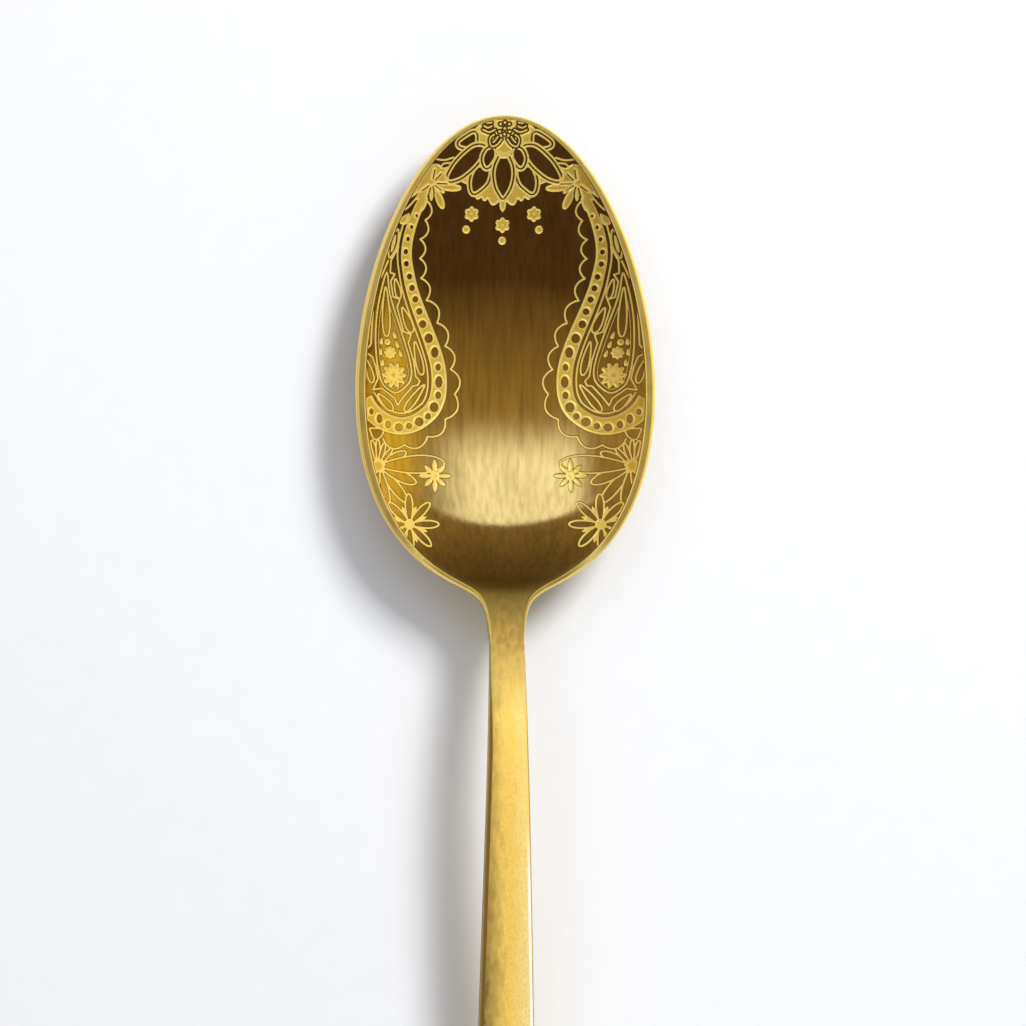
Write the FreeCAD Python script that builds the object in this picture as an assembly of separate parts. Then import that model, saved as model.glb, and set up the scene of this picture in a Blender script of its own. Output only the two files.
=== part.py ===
import FreeCAD, Part
import math
import os

# An ornamented table spoon: a pressed bowl with a drawn neck, and a bevelled bar handle brazed to it.
# Millimetres. +X is the spoon's right, +Y runs towards the tip of the bowl and +Z is up, with the
# spoon lying on a table, hollow side up. "along" is the distance back from the tip.

# Driving dimensions
LENGTH = 203.0             # tip of the bowl to the end of the handle
TIP_RADIUS = 10.2          # radius of the outline at the tip
BOWL_SPAN = 70.0           # length over which the outline tapers
TAPER = ((1, 0.598), (2, 0.283), (5, 0.188))   # (power, share) of the taper along BOWL_SPAN
SHOULDER_BLEND = 0.39      # how softly the outline turns into the neck
NECK_FLARE = 0.022         # keeps the neck open behind the shoulder
HOLLOW_DEPTH = 8.5         # inside of the bowl below its rim
SHELL = 1.2                # thickness of the bowl's bottom
RIM_EDGE = 0.6             # height of the rim's outer edge
TIP_BAND = 0.6             # width of the flat rim at the tip
SIDE_BAND = 1.35           # width of the flat rim at the sides
WALL_FULLNESS = 0.3        # 0 is a plain paraboloid, more is steeper at the wall and flatter below
DISH_SOFTNESS = 0.16       # how softly the dish's edge dies away into the neck
NECK_CLEARANCE = 0.004     # keeps the hollow's surface just off the top of the neck, as a share of its depth
RIM_SLOPE = 0.035          # rise of the rim towards the neck
NECK_SLOPE = 0.45
NECK_BEND = (67.0, 6.0)    # (along, softness) of the bend from the rim up into the neck
ARCH_BEND = (84.0, 14.0)   # (along, softness) of the bend from the neck down into the handle
JOINT = 75.0               # where the neck meets the handle
NECK_THICK = 3.6
HANDLE_THICK = 3.2         # at the end of the handle
HANDLE_HALF = 5.4          # half width at the end of the handle
HANDLE_BULGE = 1.0         # how much the handle's sides bow out from a straight taper
HANDLE_CORNER = 3.0        # radius of the corners at the handle's end
FOOT_DROP = 0.5            # how much is ground off under the handle's end, so that it lies flat
BEVEL = 0.6
SPIGOT_RADIUS = 1.0
SPIGOT_LENGTH = 5.0
BRAZE_GAP = 0.05

# Working limits of the surfaces, wider than the spoon
SURFACE_STEP = 1.1
SURFACE_HALF = 24.2
SURFACE_START = -3.3
HIGH = 40.0


def ramp(value, softness):
    """0 below zero and value above it, turned smoothly."""
    return (value + math.hypot(value, softness)) / 2.0


def ease(value, low, high):
    """0 at low, 1 at high, smooth between."""
    t = min(max((value - low) / (high - low), 0.0), 1.0)
    return t * t * (3.0 - 2.0 * t)


def egg(along):
    """Narrowing of the outline: half width squared is 2 * along * egg."""
    t = along / BOWL_SPAN
    return TIP_RADIUS * (1.0 - sum(share * t**power for power, share in TAPER))


def half_width(along):
    """Half width of the bowl's and the neck's outline."""
    return math.sqrt(2.0 * along * (ramp(egg(along), SHOULDER_BLEND) + NECK_FLARE))


MAX_HALF = max(half_width(0.5 * i) for i in range(1, 140))


def top_line(along):
    """Height of the rim, then of the top of the neck and the handle, above the rim's tip."""
    return (
        RIM_SLOPE * along
        + (NECK_SLOPE - RIM_SLOPE) * ramp(along - NECK_BEND[0], NECK_BEND[1])
        + (HANDLE_SLOPE - NECK_SLOPE) * ramp(along - ARCH_BEND[0], ARCH_BEND[1])
    )


def dish(fill):
    """Depth of the dish, 0 at its edge and 1 at its deepest, and running on upwards outside the edge."""
    return fill * (1.0 + WALL_FULLNESS * (1.0 - fill))


def heel(along):
    """0 over the bowl and 1 over the neck."""
    return ease(along, 56.0, 67.0)


def softened(depth, along):
    """The dish's depth with its edge smoothed away where it runs out into the neck."""
    soft = heel(along) / 2.0
    return depth * (1.0 - soft) + soft * math.hypot(depth, DISH_SOFTNESS)


def inside(x, along):
    """Height of the hollow's surface above the rim's tip."""
    inner = (along - TIP_BAND) * BOWL_SPAN / (BOWL_SPAN - TIP_BAND - SIDE_BAND / 2.0)
    narrow = (1.0 - SIDE_BAND / MAX_HALF) ** 2
    fill = (narrow * 2.0 * inner * egg(inner) - x * x) / (narrow * MAX_HALF**2)
    depth = softened(dish(fill), along) - NECK_CLEARANCE * heel(along)
    return top_line(along) - HOLLOW_DEPTH * depth


def underside(x, along):
    """Height of the bowl's and the neck's lower surface above the rim's tip."""
    fill = (2.0 * along * egg(along) - x * x) / MAX_HALF**2
    spine = (NECK_THICK - RIM_EDGE) * ease(along, 56.0, 73.0) / (1.0 + (x / 6.0) ** 4)
    depth = HOLLOW_DEPTH + SHELL - RIM_EDGE
    return top_line(along) - RIM_EDGE - spine - depth * softened(dish(fill), along)


def place(x, along, height):
    """A point of the spoon, from its distance behind the tip and its height above the rim's tip."""
    return FreeCAD.Vector(x, LENGTH / 2.0 - along, height + LIFT)


def above(height):
    """The solid over a surface height(x, along), wider than the bowl and the neck."""
    rows = int((JOINT + 2.0 - SURFACE_START) / SURFACE_STEP) + 1
    columns = int(2.0 * SURFACE_HALF / SURFACE_STEP) + 1
    grid = []
    for i in range(rows):
        along = SURFACE_START + i * SURFACE_STEP
        across = [-SURFACE_HALF + j * SURFACE_STEP for j in range(columns)]
        grid.append([place(x, along, height(x, along)) for x in across])
    surface = Part.BSplineSurface()
    surface.interpolate(grid)
    return surface.toShape().extrude(FreeCAD.Vector(0, 0, HIGH))


def curve(points):
    spline = Part.BSplineCurve()
    spline.interpolate(points)
    return spline.toShape()


def plan_prism(edges):
    """A tall solid over a closed outline on the plan."""
    face = Part.Face(Part.Wire(Part.sortEdges(edges)[0]))
    face.translate(FreeCAD.Vector(0, 0, -HIGH / 2.0))
    return face.extrude(FreeCAD.Vector(0, 0, 2.0 * HIGH))


def side_prism(start, end, lower, step):
    """A wide solid under the top line, from along=start to along=end, down to lower(along)."""
    count = int((end - start) / step) + 1
    stations = [start + (end - start) * i / count for i in range(count + 1)]
    top = curve([place(-SURFACE_HALF, a, top_line(a)) for a in stations])
    bottom = curve([place(-SURFACE_HALF, a, lower(a)) for a in stations])
    ends = [
        Part.makeLine(place(-SURFACE_HALF, a, top_line(a)), place(-SURFACE_HALF, a, lower(a)))
        for a in (start, end)
    ]
    face = Part.Face(Part.Wire(Part.sortEdges([top, bottom, *ends])[0]))
    return face.extrude(FreeCAD.Vector(2.0 * SURFACE_HALF, 0, 0))


def bowl_outline():
    """The egg from one side of the joint round the tip to the other, closed across the joint."""
    steps = 60
    around = [math.sin(math.pi / 2.0 * i / steps) for i in range(-steps, steps + 1)]
    points = []
    for u in around:
        along = JOINT * u * u
        points.append(place(math.copysign(half_width(along), u), along, 0.0))
    return [curve(points), Part.makeLine(points[-1], points[0])]


def handle_half(along):
    """Half width of the handle: a parabola from the neck to the end."""
    t = (along - JOINT) / (LENGTH - JOINT)
    neck = half_width(JOINT)
    return neck + (HANDLE_HALF - neck) * t + HANDLE_BULGE * t * (1.0 - t)


def handle_outline():
    """The bar's plan: two bowed sides, and a square end with rounded corners."""
    corner = LENGTH - HANDLE_CORNER
    half = handle_half(corner)
    stations = [JOINT + (corner - JOINT) * i / 12.0 for i in range(13)]
    neck = half_width(JOINT)
    flat = half - HANDLE_CORNER
    turn = HANDLE_CORNER * math.sqrt(0.5)
    edges = [
        Part.makeLine(place(-neck, JOINT, 0.0), place(neck, JOINT, 0.0)),
        Part.makeLine(place(-flat, LENGTH, 0.0), place(flat, LENGTH, 0.0)),
    ]
    for side in (-1.0, 1.0):
        edges.append(curve([place(side * handle_half(a), a, 0.0) for a in stations]))
        middle = place(side * (flat + turn), corner + turn, 0.0)
        end = place(side * flat, LENGTH, 0.0)
        edges.append(Part.Arc(place(side * half, corner, 0.0), middle, end).toShape())
    return edges


def handle_underside(along):
    """Height of the handle's lower face: its thickness shrinks evenly from the neck to the end."""
    t = (along - JOINT) / (LENGTH - JOINT)
    return top_line(along) - NECK_THICK - (HANDLE_THICK - NECK_THICK) * t


def spigot(radius, length):
    """The round peg on the neck's end, along the neck's own slope, in the middle of the joint."""
    rise = (top_line(JOINT + 1.0) - top_line(JOINT - 1.0)) / 2.0
    direction = FreeCAD.Vector(0, -1.0, rise).normalize()
    centre = place(0.0, JOINT, top_line(JOINT) - NECK_THICK / 2.0)
    return Part.makeCylinder(radius, length + 1.0, centre - direction, direction)


def make_bowl():
    blank = plan_prism(bowl_outline()).common(above(underside))
    blank = blank.common(side_prism(SURFACE_START, JOINT, lambda a: top_line(a) - HIGH / 2.0, 2.0))
    shell = blank.cut(above(inside))
    return shell.fuse(spigot(SPIGOT_RADIUS, SPIGOT_LENGTH))


def top_sides(handle):
    """The long edges between the handle's top and its sides."""
    found = []
    for edge in handle.Edges:
        box = edge.BoundBox
        middle = edge.valueAt((edge.FirstParameter + edge.LastParameter) / 2.0)
        along = LENGTH / 2.0 - middle.y
        top = top_line(along) + LIFT
        if box.YLength > (LENGTH - JOINT) / 2.0 and abs(middle.z - top) < 0.2:
            found.append(edge)
    return found


def make_handle():
    bar = plan_prism(handle_outline()).common(side_prism(JOINT, LENGTH, handle_underside, 4.0))
    bar = bar.cut(spigot(SPIGOT_RADIUS + BRAZE_GAP, SPIGOT_LENGTH + 2.0 * BRAZE_GAP))
    bar = bar.makeChamfer(BEVEL, top_sides(bar))
    below_table = Part.makeBox(HIGH, LENGTH, HIGH, FreeCAD.Vector(-HIGH / 2.0, -LENGTH, -HIGH))
    return bar.cut(below_table)


# The bowl's lowest point and the handle's end both stand on the table, at height 0. The handle's
# slope is what brings its end down there, and it lifts the bowl a little, so the two are found in turns.
HANDLE_SLOPE = 0.0
LIFT = 0.0
for _ in range(6):
    LIFT = -min(underside(0.0, 0.25 * i) for i in range(1, 240))
    above_table = top_line(LENGTH) - HANDLE_THICK + LIFT + FOOT_DROP
    HANDLE_SLOPE -= above_table / ramp(LENGTH - ARCH_BEND[0], ARCH_BEND[1])

os.makedirs("parts", exist_ok=True)
for name, solid in (("bowl", make_bowl()), ("handle", make_handle())):
    solid.exportStep(f"parts/{name}.step")
    box = solid.optimalBoundingBox()
    print(name, "solids", len(solid.Solids), "valid", solid.isValid(), "volume", round(solid.Volume))
    print("  x", round(box.XMin, 3), round(box.XMax, 3), "y", round(box.YMin, 3), round(box.YMax, 3),
          "z", round(box.ZMin, 3), round(box.ZMax, 3))
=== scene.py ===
import math

import bpy
import numpy as np
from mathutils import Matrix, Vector
from mathutils.geometry import delaunay_2d_cdt


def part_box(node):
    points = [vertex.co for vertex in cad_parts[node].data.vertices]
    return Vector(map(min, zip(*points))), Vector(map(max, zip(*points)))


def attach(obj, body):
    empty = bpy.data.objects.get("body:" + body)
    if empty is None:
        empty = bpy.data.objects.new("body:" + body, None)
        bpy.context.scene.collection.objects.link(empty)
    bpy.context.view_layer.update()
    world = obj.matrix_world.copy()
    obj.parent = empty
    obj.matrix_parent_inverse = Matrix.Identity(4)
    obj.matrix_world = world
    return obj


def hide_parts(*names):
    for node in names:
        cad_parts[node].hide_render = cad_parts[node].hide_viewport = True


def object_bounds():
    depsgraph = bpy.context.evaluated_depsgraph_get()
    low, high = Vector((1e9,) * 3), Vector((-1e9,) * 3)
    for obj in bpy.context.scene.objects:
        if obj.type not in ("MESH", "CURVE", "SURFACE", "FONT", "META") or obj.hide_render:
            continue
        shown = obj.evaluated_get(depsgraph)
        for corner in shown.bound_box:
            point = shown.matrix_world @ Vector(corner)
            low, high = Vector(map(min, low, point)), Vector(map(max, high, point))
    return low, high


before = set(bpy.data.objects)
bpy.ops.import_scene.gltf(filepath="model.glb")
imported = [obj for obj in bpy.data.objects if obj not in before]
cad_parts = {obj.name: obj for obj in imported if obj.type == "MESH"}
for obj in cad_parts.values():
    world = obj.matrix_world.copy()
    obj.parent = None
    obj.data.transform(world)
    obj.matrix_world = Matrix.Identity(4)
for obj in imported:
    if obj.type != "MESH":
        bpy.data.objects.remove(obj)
CAD_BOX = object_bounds()

# Lengths are millimetres on the spoon's plan: x across it, along back from the bowl's tip.
# place() turns them into the frame's metres.
MM = 0.001
LOW, HIGH = CAD_BOX
TIP_Y = HIGH[1]
LENGTH = (HIGH[1] - LOW[1]) / MM
JOINT = (TIP_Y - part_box("handle")[1].y) / MM
MAX_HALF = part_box("bowl")[1].x / MM

# Shape of the bowl and the neck
TIP_RADIUS = 10.2
BOWL_SPAN = 70.0           # length over which the outline tapers
TAPER = ((1, 0.598), (2, 0.283), (5, 0.188))   # (power, share) of the taper along BOWL_SPAN
SHOULDER_BLEND = 0.39      # how softly the outline turns into the neck
NECK_FLARE = 0.022         # keeps the neck open behind the shoulder
HOLLOW_DEPTH = 8.5
SHELL = 1.2                # thickness of the bowl's bottom
RIM_EDGE = 0.6             # height of the rim's outer edge
TIP_BAND = 0.6             # width of the flat rim at the tip
SIDE_BAND = 1.35           # and at the sides
WALL_FULLNESS = 0.3
DISH_SOFTNESS = 0.16       # how softly the dish's edge dies away into the neck
RIM_SLOPE = 0.035
NECK_SLOPE = 0.45
NECK_BEND = (67.0, 6.0)    # (along, softness) of the bend from the rim up into the neck
ARCH_BEND = (84.0, 14.0)   # and of the bend from the neck down into the handle
NECK_THICK = 3.6
HEEL = (56.0, 67.0)        # along which the hollow and the underside die away into the neck
SPINE = (56.0, 73.0)       # along which the middle thickens towards the neck
SPINE_HALF = 6.0
EDGE_ROUND = 0.55          # height over which the rim's outer edge is rounded

# Shape of the handle
HANDLE_THICK = 3.2
HANDLE_END = 5.4           # half width at the end
HANDLE_BULGE = 1.0         # how much the sides bow out from a straight taper
HANDLE_CORNER = 3.0
FOOT_DROP = 0.5            # how much is ground off under the end
BEVEL = 0.6
CROWN = 0.3                # how much higher the top's middle is than its edges
UNDER_ROUND = 0.4          # radius of the lower edges

# The rim from the hollow's edge outwards: share of its width, lift in millimetres, share of EDGE_ROUND
RIM_PROFILE = (
    (0.0, 0.0, 0.0), (0.04, 0.02, 0.0), (0.1, 0.035, 0.0), (0.2, 0.04, 0.0), (0.5, 0.04, 0.0),
    (0.66, 0.035, 0.02), (0.8, 0.02, 0.12), (0.9, 0.0, 0.28), (0.97, 0.0, 0.55), (1.0, 0.0, 0.85),
)

# Shares of the top's width from the handle's middle outwards, then of the bevel's width
TOP_SHARES = (0.0, 0.2, 0.4, 0.6, 0.8, 0.92, 0.98)
BEVEL_SHARES = (0.05, 0.12, 0.7, 0.88, 0.95)

# Camera and studio, in metres
CAMERA_DISTANCE = 1.2
CAMERA_LEAN = math.radians(4.5)
VIEW_WIDTH = 0.1454
AIM = Vector((0.001, TIP_Y - 0.0565, 0.01))
BOWL_MIDDLE = Vector((0.0, TIP_Y - 0.036, 0.005))
LIGHT_DISTANCE = 0.9

# The room's colours, from behind the handle (0) to beyond the bowl's tip (1)
ROOM_COLOURS = (
    (0.0, (0.07, 0.042, 0.028)), (0.38, (0.07, 0.042, 0.028)), (0.5, (0.24, 0.18, 0.08)),
    (0.62, (0.34, 0.27, 0.14)), (0.88, (0.18, 0.135, 0.07)), (1.0, (0.16, 0.12, 0.06)),
)

# The mottled tarnish that the neck and the handle share where they meet
JOINT_COLOURS = ((0.58, 0.36, 0.06), (0.36, 0.225, 0.035))
JOINT_METALLIC = 0.25
NECK_CLEAN = JOINT - 9.0       # where it ends, in front of the joint and behind it
HANDLE_CLEAN = JOINT + 10.0

# The etched ornament
ETCH_DEPTH = 0.16
ETCH_WALL = 0.36           # width of the slope between the polished surface and an etched floor
LINE = 0.4                 # width of an etched line, with its dark edges
DARK_EDGE = 0.08           # width of the painted shade in the ornament's edges
FIELD_STEP = 0.09          # grid on which the ornament is drawn
BEAD_TOP = 0.08            # how far a raised satin bead stays inside the ornament's edge slope
FIELD_REACH = 0.6          # how far from a shape's edge the field follows the shape
FILL_STEP = 0.9            # spacing of mesh points on plain stretches
ROW_SHARE = 0.866          # height of an even triangle, as a share of its side
HEEL_START = 62.0          # where the hollow begins to turn into the neck, and needs closer points
STATIONS = np.sin(np.linspace(0.0, math.pi / 2.0, 150)) ** 2   # shares of the outline, closer at the tip

# The numbers of the bowl's and the handle's finishes, in the order of their materials
# The fifth bowl finish is painted shade along the etched edges.
# The fourth bowl finish is burnished gold, its brighter colour partly a painted highlight.
POLISHED, ETCHED, SATIN, BURNISHED_AND_HIGHLIT, PAINTED_EDGE_SHADE = range(5)
BRUSHED, BEVELLED, EDGED = range(3)


# ---- shape of the spoon

def ramp(value, softness):
    """0 below zero and value above it, turned smoothly."""
    return (value + np.hypot(value, softness)) / 2.0


def ease(value, low, high):
    """0 at low, 1 at high, smooth between."""
    t = np.clip((value - low) / (high - low), 0.0, 1.0)
    return t * t * (3.0 - 2.0 * t)


def egg(along):
    """Narrowing of the outline: half width squared is 2 * along * egg."""
    t = along / BOWL_SPAN
    return TIP_RADIUS * (1.0 - sum(share * t**power for power, share in TAPER))


def half_width(along):
    """Half width of the bowl's and the neck's outline."""
    return np.sqrt(2.0 * along * (ramp(egg(along), SHOULDER_BLEND) + NECK_FLARE))


def inner_along(along):
    """Where the outline has the shape that the hollow's edge has here."""
    return (along - TIP_BAND) * BOWL_SPAN / (BOWL_SPAN - TIP_BAND - SIDE_BAND / 2.0)


def hollow_half(along):
    """Half width of the hollow, inside the flat rim."""
    return (1.0 - SIDE_BAND / MAX_HALF) * half_width(np.maximum(inner_along(along), 0.0))


def rise(along, handle_slope):
    """Height of the rim, the neck and the handle above the rim's tip, for a slope of the handle."""
    return (
        RIM_SLOPE * along
        + (NECK_SLOPE - RIM_SLOPE) * ramp(along - NECK_BEND[0], NECK_BEND[1])
        + (handle_slope - NECK_SLOPE) * ramp(along - ARCH_BEND[0], ARCH_BEND[1])
    )


def dish(fill):
    """Share of the dish's depth, for a share of the way in from its edge."""
    return fill * (1.0 + WALL_FULLNESS * (1.0 - fill))


def heel(along):
    """0 over the bowl and 1 over the neck."""
    return ease(along, *HEEL)


def softened(depth, along):
    """A depth that dies away smoothly towards the neck in place of changing sign."""
    soft = heel(along) / 2.0
    return depth * (1.0 - soft) + soft * np.hypot(depth, DISH_SOFTNESS)


def sag_below(x, along):
    """How far the bowl's and the neck's lower surface lies below the rim's height."""
    fill = (2.0 * along * egg(along) - x * x) / MAX_HALF**2
    spine = (NECK_THICK - RIM_EDGE) * ease(along, *SPINE) / (1.0 + (x / SPINE_HALF) ** 4)
    return RIM_EDGE + spine + (HOLLOW_DEPTH + SHELL - RIM_EDGE) * softened(dish(fill), along)


def resting():
    """The lift and the handle's slope that stand the bowl and the handle's end on the table."""
    stations = np.arange(0.25, 60.0, 0.25)
    slope = 0.0
    for _ in range(6):
        lift = -(rise(stations, slope) - sag_below(0.0, stations)).min()
        above_table = rise(LENGTH, slope) - HANDLE_THICK + lift + FOOT_DROP
        slope -= above_table / ramp(LENGTH - ARCH_BEND[0], ARCH_BEND[1])
    return lift, slope


LIFT, HANDLE_SLOPE = resting()


def top_line(along):
    """Height of the rim, the neck and the handle above the table."""
    return rise(along, HANDLE_SLOPE) + LIFT


def inside(x, along):
    """Height of the polished hollow, running out smoothly into the top of the neck."""
    inner = inner_along(along)
    narrow = (1.0 - SIDE_BAND / MAX_HALF) ** 2
    fill = (narrow * 2.0 * inner * egg(inner) - x * x) / (narrow * MAX_HALF**2)
    return top_line(along) - HOLLOW_DEPTH * softened(dish(fill), along)


def underside(x, along):
    """Height of the bowl's and the neck's lower surface."""
    return top_line(along) - sag_below(x, along)


def unit(vectors):
    """The vectors at length 1."""
    return vectors / (np.linalg.norm(vectors, axis=-1, keepdims=True) + 1e-30)


def slopes(height, x, along, step=0.02):
    """A surface's unit normals in the frame's axes: x, y towards the tip, z up."""
    across = (height(x + step, along) - height(x - step, along)) / (2.0 * step)
    back = (height(x, along + step) - height(x, along - step)) / (2.0 * step)
    return unit(np.stack([-across, back, np.ones_like(across)], axis=-1))


def place(x, along, height):
    """The frame's metres for points of the plan."""
    return np.stack([x * MM, TIP_Y - along * MM, height * MM], axis=-1)


# ---- drawing on the plan

def smooth(points, closed=False, steps=6):
    """A curve through the points."""
    p = np.array(points, float)
    if closed:
        p = np.vstack([p[-1], p, p[:2]])
    else:
        p = np.vstack([2 * p[0] - p[1], p, 2 * p[-1] - p[-2]])
    t = np.linspace(0.0, 1.0, steps, endpoint=False)[:, None]
    parts = []
    for a, b, c, d in zip(p, p[1:], p[2:], p[3:]):
        parts.append(b + 0.5 * t * (c - a + t * (2 * a - 5 * b + 4 * c - d + t * (3 * (b - c) + d - a))))
    if not closed:
        parts.append(p[-2:-1])
    return np.vstack(parts)


def scallops(cusps, sag=0.3, steps=9):
    """A row of round lobes that meet at the cusps and swell to the left of the way they run."""
    t = np.linspace(0.0, 1.0, steps, endpoint=False)[:, None]
    lobes = []
    for start, end in zip(np.array(cusps[:-1]), np.array(cusps[1:])):
        chord = end - start
        side = np.array([chord[1], -chord[0]])
        lobes.append(start + t * chord + side * sag * np.sin(math.pi * t) ** 0.8)
    return np.vstack([*lobes, cusps[-1:]])


def petal(base, tip, width, root=1.0, end=0.5):
    """A closed leaf from base to tip. root and end are 1 for a point and 0.5 for a round end."""
    base, tip = np.array(base, float), np.array(tip, float)
    t = (1.0 - np.cos(np.linspace(0.0, math.pi, 15))) / 2.0
    peak = root / (root + end)
    half = width / 2.0 * (t / peak) ** root * ((1.0 - t) / (1.0 - peak)) ** end
    axis = tip - base
    side = np.array([axis[1], -axis[0]]) / np.hypot(*axis)
    middle = base + t[:, None] * axis
    left = middle + side * half[:, None]
    right = middle - side * half[:, None]
    return np.vstack([left, right[-2:0:-1]])


def blossom(centre, radius, petals, notch, turn=0.0):
    """A closed outline of round petals with notches between them, as deep as that share of the radius."""
    angle = np.linspace(0.0, 2.0 * math.pi, petals * 10, endpoint=False)
    reach = radius * (1.0 - notch + notch * np.abs(np.cos(petals * (angle - turn) / 2.0)))
    return np.array(centre) + np.stack([reach * np.sin(angle), -reach * np.cos(angle)], axis=1)


def oval(centre, half_x, half_along=None):
    angle = np.linspace(0.0, 2.0 * math.pi, 20, endpoint=False)
    x, along = half_x * np.cos(angle), (half_along or half_x) * np.sin(angle)
    return np.array(centre) + np.stack([x, along], axis=1)


def spokes(count, turn=0.0):
    """Unit vectors evenly round a circle, the first turned that far from +x."""
    angles = [2.0 * math.pi * i / count + turn for i in range(count)]
    return [np.array((math.cos(angle), math.sin(angle))) for angle in angles]


def offset(points, distance):
    """The curve moved to the right of the way it runs, by one distance or one for each point."""
    direction = unit(np.gradient(points, axis=0))
    return points + np.stack([-direction[:, 1], direction[:, 0]], axis=1) * np.reshape(distance, (-1, 1))


def mirrored(right):
    """A closed outline symmetric about x = 0, from its right half drawn away from the tip."""
    left = right[::-1] * np.array([-1.0, 1.0])
    return np.vstack([right, left])


# ---- the etched field

class Etching:
    """Distance to the etched areas, on a grid over the right half of the hollow: below 0 is etched."""

    def __init__(self, width, length):
        self.x = np.arange(0.0, width, FIELD_STEP)
        self.along = np.arange(0.0, length, FIELD_STEP)
        self.field = np.full((len(self.along), len(self.x)), 1.0)

    def distance(self, points, closed, rows, columns):
        """Distance to a line, or to an area's edge with the area's inside below 0."""
        x, along = np.meshgrid(self.x[columns], self.along[rows])
        nearest = np.full(x.shape, np.inf)
        within = np.zeros(x.shape, bool)
        ends = np.roll(points, -1, axis=0) if closed else points[1:]
        for (px, pa), (qx, qa) in zip(points, ends):
            dx, da = qx - px, qa - pa
            share = np.clip(((x - px) * dx + (along - pa) * da) / (dx * dx + da * da + 1e-12), 0.0, 1.0)
            nearest = np.minimum(nearest, (x - px - share * dx) ** 2 + (along - pa - share * da) ** 2)
            if closed and pa != qa:
                within ^= ((pa > along) != (qa > along)) & (x < px + (along - pa) * dx / da)
        nearest = np.sqrt(nearest)
        return np.where(within, -nearest, nearest)

    def around(self, points, closed, grow=0.0, margin=0.0):
        """The part of the grid around a shape, and the distance there to the shape moved out by grow."""
        reach = abs(grow) + margin + FIELD_REACH
        low, high = np.min(points, axis=0) - reach, np.max(points, axis=0) + reach
        columns = slice(*np.searchsorted(self.x, (low[0], high[0])))
        rows = slice(*np.searchsorted(self.along, (low[1], high[1])))
        return (rows, columns), self.distance(points, closed, rows, columns) - grow

    def cut(self, points, grow=0.0):
        """Etch the area inside an outline, moved outwards by grow."""
        window, area = self.around(points, True, grow)
        self.field[window] = np.minimum(self.field[window], area)

    def leave(self, points, grow=0.0, closed=True):
        """Leave the area polished, or the strip along an open line."""
        window, area = self.around(points, closed, grow)
        self.field[window] = np.maximum(self.field[window], -area)

    def bead(self, points, width=0.0, closed=True):
        """Raise an etched floor into a rounded satin ridge or bead, without reaching the polished level."""
        window, away = self.around(points, closed, margin=width)
        raised = np.minimum(width / 2.0 - away - ETCH_WALL / 2.0, -BEAD_TOP)
        etched = self.field[window] < 0.0
        self.field[window] = np.where(etched, np.maximum(self.field[window], raised), self.field[window])

    def line(self, points, width=LINE, closed=False):
        """An etched line with the points along its middle."""
        window, away = self.around(points, closed, margin=width)
        self.field[window] = np.minimum(self.field[window], np.abs(away) - width / 2.0)

    def outlined(self, points):
        """A polished island inside an etched line."""
        self.cut(points, LINE - DARK_EDGE)
        self.leave(points, -DARK_EDGE)

    def twice_outlined(self, points):
        """A polished island inside two etched lines with a polished ring between them."""
        self.cut(points, 2.0 * LINE + 0.02)
        self.leave(points, LINE + 0.02)
        self.outlined(points)

    def keep_off_rim(self, margin):
        """Leave a polished strip of this width along the hollow's edge."""
        x, along = np.meshgrid(self.x, self.along)
        half = np.maximum(hollow_half(along), 0.01)
        self.field = np.maximum(self.field, margin - (half * half - x * x) / (2.0 * half))


# ---- the ornament, right half

def tip_medallion(etch):
    """The fan of petals that hangs from the tip of the bowl."""
    ground = [(0, 1.2), (1.6, 1.3), (2.4, 3.0), (4.0, 4.6), (5.6, 7.6), (6.8, 9.0), (6.1, 9.5), (5.2, 9.9),
              (4.9, 10.8), (4.1, 11.4)]
    fringe = [(4.1, 11.4), (3.1, 11.7), (2.15, 11.9), (0.55, 12.3)]
    drop = [(0.55, 12.8), (0.4, 13.3), (0.0, 13.8)]
    etch.cut(mirrored(np.vstack([ground, scallops(fringe, 0.42), drop])))
    blob = [(2.2, 2.7), (3.7, 2.1), (4.4, 3.0), (4.1, 4.3), (2.5, 4.6)]
    etch.cut(smooth(blob, closed=True))
    rim_petal = [(4.3, 2.8), (5.3, 3.2), (6.4, 4.1), (5.6, 4.45), (4.4, 4.3)]
    lower = [(2.2, 7.7), (3.6, 7.4), (4.3, 8.5), (4.5, 9.7), (4.2, 10.8), (3.3, 10.3), (2.4, 9.3)]
    slanted = [(2.9, 4.8), (4.2, 4.6), (5.8, 5.8), (7.1, 7.3), (7.9, 9.05), (6.5, 8.8), (5.2, 7.9),
               (3.9, 6.6)]
    small = [(1.5, 4.9), (2.3, 5.0), (2.8, 5.9), (2.75, 6.7), (2.4, 7.2), (1.8, 6.6), (1.4, 5.8)]
    for outline in (rim_petal, lower, slanted, small):
        etch.twice_outlined(smooth(outline, closed=True))
    central = [(0.5, 6.1), (1.0, 7.3), (1.1, 8.6), (0.75, 10.2), (0.0, 11.45)]
    etch.twice_outlined(mirrored(np.vstack([smooth(central), [(0.0, 11.45)]])))


def tip_cup(etch):
    """The satin cup above the central petal, with a ridge across it."""
    cup = [(0.0, 4.0), (0.95, 4.5), (1.15, 5.0), (0.9, 5.6), (0.5, 5.95), (0.0, 6.05)]
    etch.cut(mirrored(np.array(cup)), 0.15)
    etch.bead(smooth([(-0.7, 5.25), (0.0, 5.45), (0.7, 5.25)]), 0.1, closed=False)


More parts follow.
